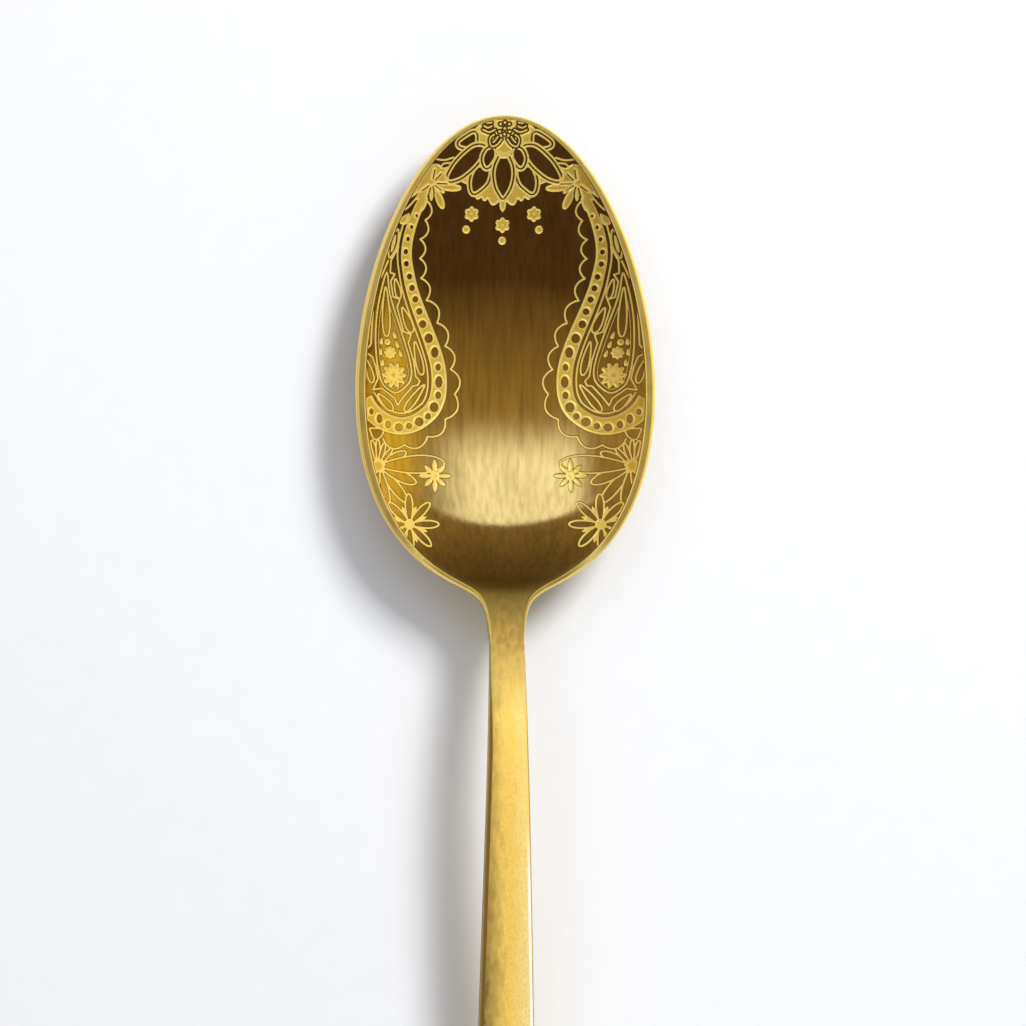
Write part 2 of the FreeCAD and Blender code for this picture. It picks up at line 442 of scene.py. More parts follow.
def tip_rosette(etch):
    """The small bloom at the rim: its dots, and the nested arcs of a wing and a bud beside them."""
    ground = [(0.0, 0.6), (1.6, 0.7), (2.6, 0.95), (3.8, 1.4), (4.4, 2.0), (4.0, 2.6), (2.9, 3.3),
              (1.5, 3.2), (0.0, 3.6)]
    etch.cut(mirrored(np.array(ground)))
    nested_lines = (
        [(1.36, 2.1), (2.2, 2.45), (3.15, 2.12)],
        [(1.85, 1.62), (2.46, 1.85), (3.0, 1.6)],
        [(1.9, 1.12), (2.6, 1.2)],
        [(0.4, 3.42), (0.98, 4.16), (1.76, 4.44), (2.1, 3.76), (1.95, 3.12), (1.5, 2.82)],
        [(0.95, 3.1), (1.3, 3.6), (1.62, 3.86)],
    )
    for points in nested_lines:
        etch.leave(smooth(points), 0.26, closed=False)
    for points in nested_lines:
        etch.line(smooth(points), 0.34)
    for x, along in ((0.0, 1.1), (0.62, 1.32), (0.0, 1.92), (0.72, 2.36), (0.0, 2.74)):
        etch.leave(oval((x, along), 0.36, 0.34))
        etch.cut(oval((x, along), 0.27, 0.25))


def hanging_drops(etch):
    """Three little blooms, each with a dot below it."""
    for x, along, dot_x in ((0.0, 15.5, 0.0), (4.45, 13.95, 5.2)):
        etch.cut(blossom((x, along), 1.16, 6, 0.22))
        etch.bead(oval((x, along), 0.04))
        etch.cut(oval((dot_x, along + 2.2), 0.65))


def leaf_flower(etch):
    """The satin leaves beside the medallion, from which the paisley's band grows."""
    body = [(6.7, 9.3), (7.7, 9.6), (8.2, 8.4), (7.9, 7.3), (8.8, 7.4), (9.6, 6.9), (10.8, 7.3),
            (12.3, 9.6), (13.3, 11.6), (12.3, 12.2), (11.0, 11.8), (10.3, 11.0), (9.6, 10.9),
            (8.6, 10.5), (7.6, 10.2)]
    etch.cut(smooth(body, closed=True))
    leaves = (((9.5, 10.2), (5.9, 10.35), 1.2), ((9.7, 9.9), (8.4, 11.1), 0.8),
              ((9.9, 10.3), (8.55, 13.35), 1.3), ((10.3, 10.3), (10.4, 12.25), 0.7),
              ((10.9, 11.0), (11.8, 13.7), 0.9))
    for base, tip, width in leaves:
        etch.cut(petal(base, tip, width, root=0.6, end=0.45))
    heart = (10.3, 9.7)
    for tip in ((7.9, 9.75), (8.8, 8.2), (9.9, 7.6), (8.9, 10.7), (9.9, 11.3), (11.0, 11.9), (11.9, 10.9)):
        vein = np.array([heart, tip])
        etch.leave(vein + (vein[::-1] - vein) * np.array([[0.3], [0.1]]), 0.01, closed=False)
    etch.line(smooth([(7.3, 6.05), (8.6, 6.42), (10.0, 6.3)]))
    etch.line(smooth([(7.8, 6.8), (8.8, 7.0), (9.4, 7.9)]))
    etch.outlined(petal((12.2, 11.0), (14.7, 13.5), 0.55))
    etch.cut(smooth([(13.5, 13.9), (15.1, 14.8), (14.9, 15.6), (13.9, 15.5)], closed=True))


# The polished holes in the paisley's band: x, along, half width and half length
BAND_HOLES = (
    (12.5, 14.3, 0.16, 0.2), (13.2, 15.9, 0.2, 0.26), (13.7, 17.6, 0.24, 0.3), (14.0, 19.4, 0.3, 0.36),
    (13.9, 21.1, 0.34, 0.38), (13.4, 22.9, 0.36, 0.4), (13.0, 24.5, 0.38, 0.42), (12.5, 26.1, 0.4, 0.44),
    (11.9, 27.8, 0.44, 0.46), (11.4, 29.6, 0.5, 0.54), (10.5, 31.6, 0.58, 0.66), (9.6, 33.6, 0.52, 0.74),
    (9.1, 35.7, 0.36, 0.48), (9.0, 37.8, 0.5, 0.8), (9.1, 39.7, 0.38, 0.5), (9.7, 41.4, 0.62, 0.66),
    (10.6, 42.7, 0.4, 0.42), (11.9, 43.5, 0.62, 0.58), (13.4, 44.1, 0.42, 0.4), (14.9, 44.3, 0.56, 0.52),
    (16.5, 43.9, 0.4, 0.5), (17.8, 43.1, 0.4, 0.6), (19.0, 42.1, 0.3, 0.4),
)


def paisley_band(etch):
    """The broad satin band round the paisley, with its row of polished holes."""
    middle = smooth([(11.3, 11.2), (12.5, 13.8), (13.3, 16.0), (13.8, 18.2), (13.9, 20.2), (13.6, 22.2),
                     (13.1, 24.4), (12.4, 26.5), (11.5, 28.8), (10.6, 31.0), (9.8, 33.2), (9.2, 35.3),
                     (8.95, 37.6), (9.15, 39.8), (9.9, 41.6), (11.1, 42.8), (12.6, 43.7), (14.3, 44.1),
                     (16.0, 43.9), (17.6, 43.2), (19.1, 42.0), (20.2, 40.4)])
    travelled = np.concatenate([[0.0], np.cumsum(np.linalg.norm(np.diff(middle, axis=0), axis=1))])
    half = 0.65 + 0.8 * (travelled / travelled[-1]) ** 0.8
    etch.cut(np.vstack([offset(middle, half), offset(middle, -half)[::-1]]))
    etch.line(offset(middle, -half - 0.45)[12:])
    for x, along, across, lengthwise in BAND_HOLES:
        etch.leave(oval((x, along), across, lengthwise), -0.05)


def paisley_scallops(etch):
    """The scalloped line along the band, on the side of the bowl's middle."""
    cusps = [(10.9, 12.3), (11.2, 14.9), (11.9, 17.6), (11.9, 20.3), (11.7, 23.1), (10.9, 26.2),
             (9.3, 29.4), (8.1, 32.7), (7.3, 36.0), (6.7, 39.5), (8.1, 43.1), (10.7, 45.6),
             (14.1, 46.8), (17.3, 45.9)]
    etch.line(scallops(cusps, -0.3))


def paisley_thorns(etch):
    """The thorny line that goes round the inner teardrop, and the drops between it and the band."""
    thorns = [(15.1, 18.7), (16.2, 20.7), (16.3, 22.4), (15.6, 22.6), (16.2, 23.6), (15.8, 25.8),
              (14.8, 26.1), (15.2, 27.3), (14.2, 30.7), (13.1, 31.1), (13.5, 32.3), (12.7, 34.9),
              (12.4, 37.0), (11.8, 37.7), (12.1, 38.3), (12.8, 38.4), (14.3, 40.1), (15.1, 41.2),
              (15.5, 40.2), (17.4, 38.8), (18.8, 39.0), (18.0, 37.4), (18.4, 35.6), (18.9, 34.3),
              (20.0, 33.7), (19.1, 32.6), (19.0, 30.6), (18.8, 27.8), (19.5, 28.1), (18.4, 24.7)]
    etch.line(np.array(thorns))
    drops = (((15.5, 23.4), (14.9, 25.9), 0.6), ((14.4, 27.4), (13.0, 30.7), 0.9),
             ((12.5, 32.2), (11.5, 36.7), 0.8), ((11.2, 38.3), (13.95, 41.9), 0.8),
             ((17.9, 39.7), (15.9, 41.8), 0.8), ((19.7, 35.0), (18.9, 37.9), 0.7))
    for base, tip, width in drops:
        etch.outlined(petal(base, tip, width))
    etch.outlined(petal((15.3, 16.4), (16.4, 20.2), 0.9, end=1.0))
    etch.line(petal((15.6, 17.2), (16.15, 19.4), 0.25, end=1.0), closed=True)
    etch.line(np.array([(17.1, 20.3), (18.0, 22.1)]))
    etch.line(smooth([(16.6, 20.7), (17.5, 22.7), (18.1, 23.7), (18.6, 23.8)]))


def paisley_teardrop(etch):
    """The double-lined teardrop with its long drop, two small blooms and the bloom in its round end."""
    outline = smooth([(16.8, 22.4), (16.4, 24.9), (15.8, 27.1), (14.9, 29.6), (14.0, 32.3), (13.3, 34.6),
                      (13.0, 36.6), (13.5, 38.1), (15.3, 39.4), (17.2, 38.3), (17.9, 36.4), (18.3, 33.9),
                      (18.4, 31.3), (18.2, 28.1), (17.6, 24.9)], closed=True)
    etch.line(outline, closed=True)
    etch.cut(outline, -0.36)
    etch.leave(outline, -0.62)
    bloom = np.array((15.6, 36.9))
    etch.cut(blossom(bloom, 1.95, 10, 0.3, turn=0.3))
    for outward in spokes(10, -math.pi / 2.0):
        etch.bead(np.array([bloom + 0.5 * outward, bloom + 1.4 * outward]), 0.08, closed=False)
    etch.cut(blossom((16.2, 33.7), 1.03, 8, 0.2))
    etch.bead(oval((16.2, 33.7), 0.25))
    etch.cut(oval((16.6, 32.2), 0.56))
    etch.outlined(petal((16.95, 24.6), (16.75, 31.3), 0.9))
    for x, along in ((15.6, 31.3), (15.2, 32.6), (14.7, 33.9), (17.5, 32.2), (17.6, 33.7), (17.3, 35.2)):
        lean = 0.25 if x < bloom[0] + 0.5 else -0.05
        etch.cut(petal((x + lean, along - 0.8), (x - lean, along + 0.5), 0.7))


def rim_daisy(etch):
    """The daisy at the rim whose long petals reach towards the bowl's middle."""
    heart = (18.0, 49.8)
    petals = ((14.0, 47.9, 1.0), (13.9, 54.9, 1.2), (16.7, 55.3, 1.0), (12.6, 52.2, 1.3), (8.4, 49.4, 2.3),
              (19.0, 46.3, 0.4), (18.1, 46.2, 0.4), (17.1, 46.7, 0.4), (16.0, 47.4, 0.4), (18.3, 53.0, 0.4))
    for x, along, width in petals:
        etch.outlined(petal(heart, (x, along), width, end=0.6))
    etch.cut(blossom(heart, 1.15, 9, 0.2))
    etch.outlined(smooth([(17.2, 44.6), (17.7, 45.6), (18.6, 45.9), (19.2, 44.6)]))


def satin_daisy(etch):
    """The small satin daisy at the long petal's end."""
    centre = np.array((9.7, 51.2))
    for i, outward in enumerate(spokes(8)):
        reach = 2.2 if i % 2 else 2.5
        etch.cut(petal(centre + 0.3 * outward, centre + reach * outward, 0.85, root=0.7, end=0.7))
        etch.bead(np.array([centre + 0.9 * outward, centre + (reach - 0.4) * outward]), 0.04, closed=False)
    etch.cut(oval(centre, 0.75))
    etch.bead(oval(centre, 0.4))


def open_daisy(etch):
    """The daisy with outlined petals nearest to the neck."""
    centre = np.array((13.6, 58.1))
    for i, outward in enumerate(spokes(16)):
        if i % 2:
            etch.cut(petal(centre, centre + 2.9 * outward, 0.65, end=0.6))
        else:
            etch.outlined(petal(centre, centre + 4.2 * outward, 0.85, end=0.6))
    etch.cut(oval(centre, 0.85))
    etch.bead(oval(centre, 0.35))


def draw_ornament():
    etch = Etching(MAX_HALF, BOWL_SPAN - 6.0)
    for draw in (tip_medallion, tip_cup, tip_rosette, hanging_drops, paisley_scallops, rim_daisy,
                 paisley_band, leaf_flower, paisley_thorns, paisley_teardrop, satin_daisy, open_daisy):
        draw(etch)
    etch.keep_off_rim(0.08)
    return etch


# ---- meshing

def contour(etch, level):
    """The points and segments along which the field crosses a level."""
    f = etch.field - level
    x, along = np.meshgrid(etch.x, etch.along)
    points, numbers = [], []
    for axis, here, there in ((0, np.s_[:, :-1], np.s_[:, 1:]), (1, np.s_[:-1], np.s_[1:])):
        a, b = f[here], f[there]
        crossing = (a < 0) != (b < 0)
        share = (a / np.where(crossing, a - b, 1.0))[crossing]
        start = np.stack([x[here][crossing], along[here][crossing]], axis=1)
        start[:, axis] += share * FIELD_STEP
        number = np.full(crossing.shape, -1)
        number[crossing] = np.arange(crossing.sum()) + sum(len(p) for p in points)
        points.append(start)
        numbers.append(number)
    level_edges, rising_edges = numbers
    sides = [level_edges[:-1, :], level_edges[1:, :], rising_edges[:, :-1], rising_edges[:, 1:]]
    sides = np.stack(sides, axis=-1).reshape(-1, 4)
    count = (sides >= 0).sum(axis=1)
    pairs = np.sort(sides[count == 2], axis=1)[:, 2:]
    saddles = sides[count == 4]
    segments = np.vstack([pairs, saddles[:, [0, 2]], saddles[:, [1, 3]]])
    return np.vstack(points), segments


def field_at(etch, x, along):
    """The field at any points of the plan, read between the grid's."""
    column = np.clip(x / FIELD_STEP, 0, len(etch.x) - 1.001)
    row = np.clip(along / FIELD_STEP, 0, len(etch.along) - 1.001)
    i, j = row.astype(int), column.astype(int)
    u, v = row - i, column - j
    f = etch.field
    return (f[i, j] * (1 - u) * (1 - v) + f[i + 1, j] * u * (1 - v) + f[i, j + 1] * (1 - u) * v
            + f[i + 1, j + 1] * u * v)


def crease_along():
    """Stations of the crease between the hollow and the rim."""
    return TIP_BAND + (JOINT - TIP_BAND) * STATIONS


def fill_points(etch):
    """Evenly spread points of the hollow, away from its edge and from the ornament's edges."""
    grid = []
    for start, end, step in ((TIP_BAND, HEEL_START, FILL_STEP), (HEEL_START, JOINT, FILL_STEP / 3.0)):
        for i, along in enumerate(np.arange(start, end, step * ROW_SHARE)):
            first = step / 2.0 * (1 + i % 2)
            grid += [(x, along) for x in np.arange(first, MAX_HALF, step)]
    p = np.array(grid)
    f = field_at(etch, p[:, 0], p[:, 1])
    clear = (f > 0.3) | (f < -ETCH_WALL - 0.2)
    return p[clear & (p[:, 0] < hollow_half(p[:, 1]) - 0.4)]


def triangulate_hollow(etch):
    """Points and triangles of the hollow's right half, on the plan."""
    along = crease_along()
    crease = np.stack([hollow_half(along), along], axis=1)
    crease[0, 0] = 0.0
    back = np.concatenate([[JOINT], np.arange(TIP_BAND + FILL_STEP, JOINT, FILL_STEP)[::-1]])
    axis = np.stack([0.0 * back, back], axis=1)
    border = np.vstack([crease, axis])
    points, edges = [border], []
    start = len(border)
    for level in (0.0, -DARK_EDGE, -ETCH_WALL):
        found, segments = contour(etch, level)
        points.append(found)
        edges.append(segments + start)
        start += len(found)
    points.append(fill_points(etch))
    coordinates = [Vector(p) for p in np.vstack(points)]
    pairs = [tuple(e) for e in np.vstack(edges).tolist()]
    faces = [list(range(len(border)))]
    found = delaunay_2d_cdt(coordinates, pairs, faces, 1, 1e-6)
    return np.array([tuple(v) for v in found[0]]), np.array(found[2])


def sink(field):
    """How deep a point is etched, from its place across the ornament's edge."""
    return ETCH_DEPTH * ease(-field, 0.0, ETCH_WALL)


def hollow_part(etch):
    """Triangles of the hollow's right half: positions, corner normals and the finish of each."""
    def etched(x, along):
        return inside(x, along) - sink(field_at(etch, np.abs(x), along))

    plan, triangles = triangulate_hollow(etch)
    x, along = plan[:, 0], plan[:, 1]
    plain_normals = slopes(inside, x, along)
    depth = sink(field_at(etch, x, along))
    positions = place(x, along, inside(x, along)) - plain_normals * (depth * MM)[:, None]
    middle = plan[triangles].mean(axis=1)
    field = field_at(etch, middle[:, 0], middle[:, 1])
    # The thin band along each etched edge gets the dark brown finish: painted shade.
    levels = [field > 0.0, field > -DARK_EDGE, field > -ETCH_WALL]
    # The slopes below that band get the brighter burnished gold, partly a painted highlight.
    finish = np.select(levels, [POLISHED, PAINTED_EDGE_SHADE, BURNISHED_AND_HIGHLIT], ETCHED)
    corners = plain_normals[triangles]
    cut = finish != POLISHED
    corners[cut] = slopes(etched, x, along, 0.05)[triangles][cut]
    return *facing(positions[triangles], corners), finish


def both_sides(part):
    """A part and its mirror image about x = 0, with matching normals along the middle."""
    positions, normals, finish = part
    middle = np.abs(positions[..., 0]) < 1e-9
    normals[..., 0][middle] = 0.0
    normals = unit(normals)
    flip = np.array([-1.0, 1.0, 1.0])
    mirror_image = ((positions * flip)[:, ::-1], (normals * flip)[:, ::-1], finish)
    return joined([(positions, normals, finish), mirror_image])


def facing(positions, normals):
    """The triangles with their corners in the order that makes them face along their normals."""
    across = np.cross(positions[:, 1] - positions[:, 0], positions[:, 2] - positions[:, 0])
    away = (across * normals.sum(axis=1)).sum(axis=1) < 0.0
    positions[away], normals[away] = positions[away][:, ::-1], normals[away][:, ::-1]
    return positions, normals


def sheet(grid, finish, inner, normals=None):
    """A grid of points (rows, columns, xyz) as smooth triangles that face away from the inner points.

    The finish is one for all, or one for each column of faces."""
    if normals is None:
        normals = unit(np.cross(np.gradient(grid, axis=0), np.gradient(grid, axis=1)))
        outward = (normals * (grid - inner)).sum() > 0.0
        normals = normals if outward else -normals
    rows, columns = grid.shape[0] - 1, grid.shape[1] - 1

    def halved(values):
        """The two triangles of each cell of the grid, one after the other."""
        corners = ((0, 0), (1, 0), (1, 1), (0, 1))
        quad = [values[i:i + rows, j:j + columns].reshape(-1, 3) for i, j in corners]
        return np.vstack([np.stack([quad[k] for k in half], axis=1) for half in ((0, 1, 2), (0, 2, 3))])

    positions, vectors = halved(grid), halved(normals)
    across = np.cross(positions[:, 1] - positions[:, 0], positions[:, 2] - positions[:, 0])
    real = np.linalg.norm(across, axis=1) > 1e-14
    finishes = np.tile(np.broadcast_to(finish, (rows, columns)).reshape(-1), 2)
    return *facing(positions[real], vectors[real]), finishes[real]


def cap(ring, finish, direction):
    """A flat end over a ring of points whose first and last lie on x = 0."""
    hub = (ring[0] + ring[-1]) / 2.0
    positions = np.stack([np.broadcast_to(hub, ring[1:].shape), ring[:-1], ring[1:]], axis=1)
    vectors = np.broadcast_to(np.array([0.0, direction, 0.0]), positions.shape).copy()
    return *facing(positions.copy(), vectors), np.full(len(positions), finish)


def joined(parts):
    """Several parts as one."""
    return tuple(np.concatenate([p[k] for p in parts]) for k in range(3))


def add(name, data):
    """A new object in the scene."""
    new = bpy.data.objects.new(name, data)
    bpy.context.scene.collection.objects.link(new)
    return new


def mesh_object(name, part, materials):
    """A mesh with welded points and its own corner normals."""
    positions, normals, finish = part
    flat = np.round(positions.reshape(-1, 3), 8)
    points, index = np.unique(flat, axis=0, return_inverse=True)
    triangles = index.reshape(-1, 3)
    whole = (triangles != np.roll(triangles, 1, axis=1)).all(axis=1)
    triangles, normals, finish = triangles[whole], normals[whole], finish[whole]
    mesh = bpy.data.meshes.new(name)
    mesh.from_pydata(points.tolist(), [], triangles.tolist())
    mesh.polygons.foreach_set("material_index", finish.astype(np.int32))
    mesh.polygons.foreach_set("use_smooth", np.ones(len(triangles), bool))
    for material in materials:
        mesh.materials.append(material)
    mesh.normals_split_custom_set(normals.reshape(-1, 3).tolist())
    return add(name, mesh)


# ---- rim, underside and neck

def rim_grid():
    """The flat rim and its rounded outer edge, from the hollow's edge down to the underside."""
    along_in, along_out = crease_along(), JOINT * STATIONS
    x_in, x_out = hollow_half(along_in), half_width(along_out)
    x_in[0] = 0.0
    z_in, z_out = inside(x_in, along_in), top_line(along_out)
    bottom = underside(x_out, along_out)
    fall = z_out - bottom
    columns = []
    for share, lift, drop in RIM_PROFILE:
        x = x_in + (x_out - x_in) * share
        along = along_in + (along_out - along_in) * share
        height = z_in + (z_out - z_in) * share + lift - drop * np.minimum(fall, EDGE_ROUND)
        columns.append(place(x, along, height))
    columns.append(place(x_out, along_out, bottom))
    return np.stack(columns, axis=1)


def underside_grid():
    """Half rows of points under the bowl and the neck, and their normals."""
    along = np.broadcast_to((JOINT * STATIONS)[:, None], (len(STATIONS), 36))
    across = np.sin(np.linspace(0.0, math.pi / 2.0, 36))
    x = half_width(along) * across
    return place(x, along, underside(x, along)), -slopes(underside, x, along)


def bowl_part():
    """The bowl and its neck, as triangles of the whole piece."""
    core = place(0.0, BOWL_SPAN / 2.0, top_line(BOWL_SPAN / 2.0) - RIM_EDGE)
    rim = rim_grid()
    below, below_normals = underside_grid()
    top_centre = place(0.0, JOINT, inside(0.0, JOINT))
    ring = np.vstack([top_centre, rim[-1], below[-1, -2::-1]])
    shares = np.array([share for share, _, _ in RIM_PROFILE])
    # The rim's crease and outer edge get the brighter burnished gold, partly a painted highlight.
    rubbed_and_highlight = (shares < 0.1) | ((shares > 0.6) & (shares < 1.0))
    parts = [hollow_part(draw_ornament()), sheet(rim, np.where(rubbed_and_highlight, BURNISHED_AND_HIGHLIT, SATIN), core),
             sheet(below, SATIN, core, below_normals), cap(ring, SATIN, -1.0)]
    return both_sides(joined(parts))


# ---- handle

def handle_half(along):
    """Half width of the handle: a bowed taper with round corners at its end."""
    t = (along - JOINT) / (LENGTH - JOINT)
    neck = half_width(JOINT)
    half = neck + (HANDLE_END - neck) * t + HANDLE_BULGE * t * (1.0 - t)
    into = np.clip((along - (LENGTH - HANDLE_CORNER)) / HANDLE_CORNER, 0.0, 1.0)
    return half - HANDLE_CORNER * (1.0 - np.sqrt(1.0 - into * into))


def handle_grid():
    """Half rings of points round the bar, from the joint to its end: the top's middle to the bottom's."""
    quarter = np.sin(np.linspace(0.0, math.pi / 2.0, 24))
    along = np.concatenate([
        np.linspace(JOINT, JOINT + 8.0, 32, endpoint=False),
        np.linspace(JOINT + 8.0, LENGTH - HANDLE_CORNER, 80, endpoint=False),
        LENGTH - HANDLE_CORNER * (1.0 - quarter),
    ])
    t = (along - JOINT) / (LENGTH - JOINT)
    half = handle_half(along)
    top = top_line(along)
    bottom = np.maximum(top - NECK_THICK + (NECK_THICK - HANDLE_THICK) * t, 0.0)
    bevel = BEVEL * ease(along, JOINT + 0.2, JOINT + 16.0) + 0.02
    flat = half - bevel
    crown = CROWN * ease(along, JOINT, JOINT + 12.0)
    columns = [(flat * share, top - crown * share**2) for share in TOP_SHARES]
    columns += [(flat + bevel * share, top - crown - bevel * share) for share in BEVEL_SHARES]
    columns += [(half, top - crown - bevel - 0.08), (half, bottom + UNDER_ROUND + 0.1)]
    columns += [(half - UNDER_ROUND * (1.0 - math.cos(turn)), bottom + UNDER_ROUND * (1.0 - math.sin(turn)))
                for turn in (0.4, 0.8, 1.2, math.pi / 2.0)]
    columns += [((half - UNDER_ROUND) * share, bottom) for share in (0.9, 0.0)]
    return np.stack([place(x, along, height) for x, height in columns], axis=1)


def handle_part():
    """The handle, as triangles of the whole piece."""
    grid = handle_grid()
    inner = grid.mean(axis=1, keepdims=True) * np.array([0.0, 1.0, 1.0])
    column = np.arange(grid.shape[1] - 1) - len(TOP_SHARES)
    zones = [column < 0, column < 2, column < len(BEVEL_SHARES)]
    finish = np.select(zones, [BRUSHED, BEVELLED, EDGED], BRUSHED)
    ends = [cap(grid[0], BRUSHED, 1.0), cap(grid[-1], BRUSHED, -1.0)]
    return both_sides(joined([sheet(grid, finish, inner), *ends]))


# ---- materials

class Nodes:
    """A node tree, with short calls for the nodes used here."""

    def __init__(self, owner, coordinates):
        owner.use_nodes = True
        self.tree = owner.node_tree
        self.where = self.tree.nodes.new("ShaderNodeTexCoord").outputs[coordinates]

    def link(self, output, node, socket):
        self.tree.links.new(output, node.inputs[socket])

    def node(self, kind, inputs, **settings):
        """A new node. Each of its inputs is given a value, or linked to another node's output."""
        node = self.tree.nodes.new("ShaderNode" + kind)
        for name, setting in settings.items():
            setattr(node, name, setting)
        for socket, value in inputs.items():
            if isinstance(value, bpy.types.NodeSocket):
                self.link(value, node, socket)
            else:
                node.inputs[socket].default_value = value
        return node

    def axis(self, name):
        """One coordinate: of the frame in metres, or of a direction in the room."""
        return self.node("SeparateXYZ", {"Vector": self.where}).outputs[name]

    def noise(self, across, lengthwise, detail=2.0, offset=0.0):
        """Noise whose features measure across by lengthwise, in millimetres."""
        fine, coarse = 1.0 / (across * MM), 1.0 / (lengthwise * MM)
        place_and_size = {"Vector": self.where, "Location": (offset,) * 3, "Scale": (fine, coarse, fine)}
        scaled = self.node("Mapping", place_and_size).outputs["Vector"]
        return self.node("TexNoise", {"Vector": scaled, "Scale": 1.0, "Detail": detail}).outputs["Fac"]

    def spread(self, value, low=0.0, high=1.0, from_low=0.3, from_high=0.7, kind="LINEAR"):
        """A value's from_low to from_high spread over low to high."""
        ranges = {"From Min": from_low, "From Max": from_high, "To Min": low, "To Max": high}
        return self.node("MapRange", {"Value": value, **ranges}, interpolation_type=kind).outputs["Result"]

    def mix(self, share, first, second):
        """A colour between two, each a colour or another node's output."""
        first, second = [(*c, 1.0) if isinstance(c, tuple) else c for c in (first, second)]
        return self.node("Mix", {0: share, 6: first, 7: second}, data_type="RGBA").outputs[2]

    def maths(self, operation, first, second):
        """A sum, difference or product of two numbers or outputs."""
        return self.node("Math", {0: first, 1: second}, operation=operation).outputs[0]

    def bump(self, height, depth, below=None):
        """A bump of height 0 to 1 that is depth millimetres deep, on another one if there is one below."""
        lower = {"Normal": below} if below else {}
        return self.node("Bump", {"Height": height, "Distance": depth * MM, **lower}).outputs["Normal"]

    def steps(self, value, stops):
        """A run of colours over a value from 0 to 1."""
        node = self.node("ValToRGB", {"Fac": value})
        colours = node.color_ramp.elements
        while len(colours) < len(stops):
            colours.new(0.5)
        for element, (position, colour) in zip(colours, stops):
            element.position = position
            element.color = (*colour, 1.0)
        return node.outputs["Color"]


class Surface(Nodes):
    """A new material, whose coordinates are the frame's."""

    def __init__(self, name, metallic):
        self.material = bpy.data.materials.new(name)
        super().__init__(self.material, "Object")
        self.shader = self.tree.nodes["Principled BSDF"]
        self.shader.inputs["Metallic"].default_value = metallic

    def along(self, start, end, low=0.0, high=1.0):
        """A value that runs from low to high between two distances back from the tip."""
        return self.spread(self.axis("Y"), low, high, TIP_Y - start * MM, TIP_Y - end * MM)

    def towards_joint(self, colour, start, metallic=None):
        """A colour blended into the joint's tarnish from start on, and the metallic if given."""
        near = self.along(start, JOINT)
        mottle = self.spread(self.noise(0.7, 1.6, 4.0, offset=2.0))
        if metallic:
            self.link(self.spread(near, metallic, JOINT_METALLIC, 0.0, 1.0), self.shader, "Metallic")
        return self.mix(near, colour, self.mix(mottle, *JOINT_COLOURS))

    def finish(self, colour, roughness, normal):
        """The material, with these on its shader."""
        self.link(colour, self.shader, "Base Color")
        self.link(roughness, self.shader, "Roughness")
        self.link(normal, self.shader, "Normal")
        return self.material


def polished_gold():
    """The hollow: a worn mirror with lengthwise polishing lines and specks, satin over the neck, where its
    colour is darkened to brown as painted shade.
    """
    n = Surface("polished_gold", 1.0)
    fine, broad = n.noise(0.25, 10.0), n.noise(1.2, 24.0, offset=3.0)
    wave, cloud = n.noise(2.5, 5.0, 3.0, offset=11.0), n.noise(6.0, 9.0, 4.0, offset=7.0)
    streaks, speck = n.noise(0.7, 9.0, 3.0, offset=17.0), n.noise(0.16, 0.16, 1.0, offset=21.0)
    clean = n.mix(n.spread(cloud), (0.96, 0.67, 0.21), (0.84, 0.59, 0.19))
    brushed = n.mix(n.spread(streaks, 0.0, 1.0, 0.4, 0.75), clean, (0.62, 0.43, 0.13))
    # Painted shade: the mirror's colour darkens to brown over the neck.
    neck = n.along(60.0, 67.0)
    colour = n.towards_joint(n.mix(neck, brushed, (0.17, 0.11, 0.016)), NECK_CLEAN, metallic=1.0)
    worn = n.spread(n.maths("ADD", fine, broad), 0.05, 0.12, 0.7, 1.3)
    rough = n.maths("ADD", worn, n.spread(speck, 0.0, 0.3, 0.75, 0.8))
    roughness = n.maths("ADD", rough, n.maths("MULTIPLY", neck, 0.32))
    return n.finish(colour, roughness, n.bump(wave, 0.006, n.bump(broad, 0.007, n.bump(fine, 0.001))))


def etched_gold():
    """The matt, finely pitted floor of the ornament."""
    n = Surface("etched_gold", 0.6)
    grain, cloud = n.noise(0.14, 0.14, 3.0), n.noise(2.5, 2.5, 3.0, offset=5.0)
    colour = n.mix(n.spread(cloud), (0.82, 0.52, 0.06), (0.88, 0.6, 0.1))
    return n.finish(colour, n.spread(grain, 0.34, 0.46), n.bump(grain, 0.01))


def burnished_and_highlit_gold():
    """Edges burnished bright, their brighter colour partly a painted highlight: the ornament's lines and
    walls, and the rim's edges.
    """
    n = Surface("burnished_and_highlit_gold", 0.5)
    grain, cloud = n.noise(0.2, 0.4, 2.0, offset=13.0), n.noise(1.5, 3.0, 3.0, offset=15.0)
    # Brighter than the etched floor and the satin rim: partly a painted highlight.
    colour = n.mix(n.spread(cloud), (1.0, 0.76, 0.2), (1.0, 0.72, 0.16))
    return n.finish(colour, n.spread(grain, 0.28, 0.36), n.bump(grain, 0.001))


def painted_edge_shade_gold():
    """Dark brown painted shade in the corners along the etched edges."""
    n = Surface("painted_edge_shade_gold", 0.8)
    grain = n.noise(0.3, 0.3, 2.0, offset=19.0)
    # Painted shade: dark brown along the etched edges.
    colour = n.mix(grain, (0.3, 0.17, 0.03), (0.16, 0.09, 0.02))
    return n.finish(colour, n.spread(grain, 0.2, 0.4), n.bump(grain, 0.001))


def rim_gold():
    """The rim and the bowl's outside: evenly satin, a little worn."""
    n = Surface("rim_gold", 0.75)
    grain, cloud = n.noise(0.25, 0.6, 3.0), n.noise(2.0, 4.0, 3.0, offset=9.0)
    satin = n.mix(n.spread(cloud), (0.58, 0.4, 0.09), (0.7, 0.5, 0.15))
    colour = n.towards_joint(satin, NECK_CLEAN, metallic=0.75)
    return n.finish(colour, n.spread(cloud, 0.24, 0.36), n.bump(grain, 0.002))


